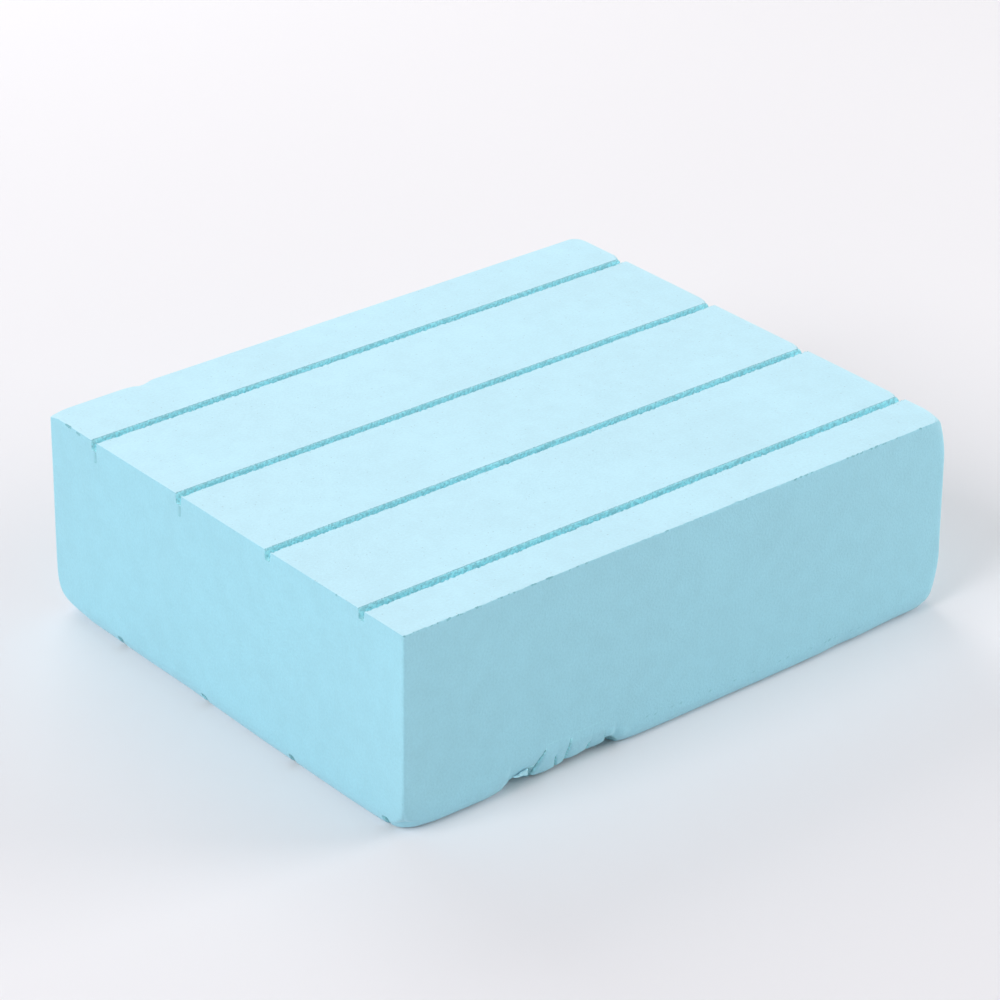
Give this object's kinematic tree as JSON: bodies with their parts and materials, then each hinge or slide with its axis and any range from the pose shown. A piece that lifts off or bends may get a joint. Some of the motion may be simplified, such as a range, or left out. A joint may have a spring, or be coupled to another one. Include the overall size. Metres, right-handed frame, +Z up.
{
  "type": "grooved insulation foam block",
  "caption": "Rectangular block of pale blue extruded polystyrene foam with straight saw-cut grooves along both broad faces and a chipped lower edge.",
  "frame": {"origin": "centre of the block's footprint, on the surface that it rests on", "axes": "+Z up through the board's thickness; +X along the grooves, from the clean-cut end towards the end with rounded upright edges; +Y across the grooves, away from the chipped lower edge"},
  "size_m": [0.256, 0.204, 0.08],
  "materials": {
    "foam": "matt, fine closed cells with pinholes",
    "edge_foam": "matt, cracked at its edges",
    "torn_foam": "matt, open torn cells"
  },
  "bodies": {
    "root": {"foam_block": "foam", "torn_sliver": "torn_foam", "edge_flap_1": "edge_foam", "edge_flap_2": "edge_foam", "edge_flap_3": "edge_foam", "edge_flap_4": "edge_foam"}
  },
  "joints": []
}
